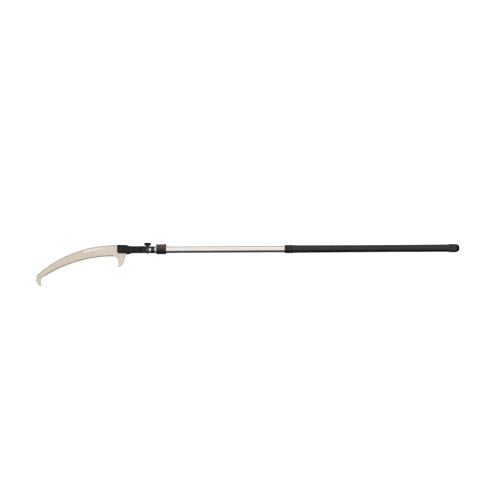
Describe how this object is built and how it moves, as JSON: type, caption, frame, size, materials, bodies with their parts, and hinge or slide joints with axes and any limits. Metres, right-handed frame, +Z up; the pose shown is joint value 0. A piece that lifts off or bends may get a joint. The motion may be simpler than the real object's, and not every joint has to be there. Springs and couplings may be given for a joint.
{
  "type": "telescoping pole saw",
  "caption": "Two-section telescoping pole saw with a curved blade, tip hook and base sickle, clamp lever, snap button and rubber grip.",
  "frame": {"origin": "middle of the bounding box along X and Y, at the height of the flat face that the saw lies on", "axes": "+X along the pole towards the butt, +Y across the pole towards the hand knob, +Z up, square to the blade"},
  "size_m": [2.296, 0.2328, 0.041],
  "materials": {
    "pole_aluminium": "satin anodised",
    "blade_steel": "satin nickel plated",
    "fastener_steel": "zinc plated",
    "blackened_steel": "black oxide",
    "insert_brass": "machined",
    "black_plastic": "fine moulded texture",
    "black_rubber": "matt",
    "holder_black": "satin black paint on die-cast aluminium",
    "lever_red": "smooth moulded",
    "guide_acetal": "natural acetal"
  },
  "bodies": {
    "outer_pole": {"outer_tube": "pole_aluminium", "mouth_bush": "guide_acetal", "clamp_collar": "black_plastic", "lever_pin": "fastener_steel", "collar_screw_front": "fastener_steel", "collar_screw_rear": "fastener_steel", "grip_front_ring": "black_plastic", "grip_sleeve": "black_rubber", "end_cap": "black_rubber", "butt_plug": "guide_acetal", "cap_screw": "fastener_steel"},
    "lever": {"clamp_lever": "lever_red"},
    "shoe": {"brake_shoe": "black_rubber"},
    "inner_pole": {"inner_tube": "pole_aluminium", "tail_bush": "guide_acetal", "snap_spring": "fastener_steel", "tip_ring": "black_plastic", "tip_ring_rivet": "fastener_steel", "head_holder": "holder_black", "saw_blade": "blade_steel", "blade_bolt_front": "blackened_steel", "blade_bolt_rear": "blackened_steel", "blade_nut_front": "fastener_steel", "blade_nut_rear": "fastener_steel", "clamp_saddle": "blackened_steel", "clamp_bolt": "blackened_steel"},
    "button": {"snap_button": "fastener_steel"},
    "washer": {"knob_washer": "blackened_steel"},
    "knob": {"clamp_knob": "black_plastic", "knob_insert": "insert_brass"}
  },
  "joints": [
    {"name": "pole_slide", "type": "slide", "parent": "outer_pole", "child": "inner_pole", "axis": [-1, 0, 0], "range_m": [0, 1.5]},
    {"name": "lever_flip", "type": "hinge", "parent": "outer_pole", "child": "lever", "pos_m": [-0.4814, 0.10183, 0.0205], "axis": [0, 0, 1], "range_deg": [0, 90]},
    {"name": "shoe_lift", "type": "slide", "parent": "outer_pole", "child": "shoe", "axis": [0, 1, 0], "range_m": [0, 0.00072]},
    {"name": "snap_press", "type": "slide", "parent": "inner_pole", "child": "button", "axis": [0, -1, 0], "range_m": [0, 0.0042], "stiffness_N_per_m": 1500, "springref_m": -0.002, "deforming": ["snap_spring"]},
    {"name": "knob_lift", "type": "slide", "parent": "inner_pole", "child": "washer", "axis": [0, 1, 0], "range_m": [0, 0.003]},
    {"name": "knob_spin", "type": "hinge", "parent": "washer", "child": "knob", "pos_m": [-0.542, 0.09743, 0.0205], "axis": [0, 1, 0], "range_deg": [0, 1080]}
  ],
  "couplings": [
    {"joint": "shoe_lift", "follows": "lever_flip", "m_per_rad": 0.000458},
    {"joint": "knob_lift", "follows": "knob_spin", "m_per_rad": 0.000159}
  ]
}
